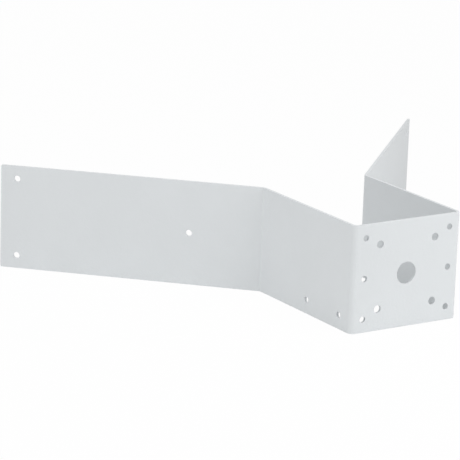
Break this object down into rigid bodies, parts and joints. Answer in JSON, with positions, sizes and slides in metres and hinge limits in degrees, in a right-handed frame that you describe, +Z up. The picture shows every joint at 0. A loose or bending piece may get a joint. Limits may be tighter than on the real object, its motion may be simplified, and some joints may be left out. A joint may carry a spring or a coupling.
{
  "type": "camera corner bracket",
  "caption": "Corner bracket for a camera: powder-coated steel sheet folded into a drilled front plate, side webs and splayed wings that hug an outside wall corner.",
  "frame": {"origin": "centre of the cable hole, on the front face of the plate", "axes": "+X along the plate to the right, +Y back towards the wall, +Z up along the folds"},
  "size_m": [0.4754, 0.3302, 0.1],
  "materials": {
    "powder_coat": "satin light grey powder coat"
  },
  "bodies": {
    "root": {"corner_bracket": "powder_coat"}
  },
  "joints": []
}
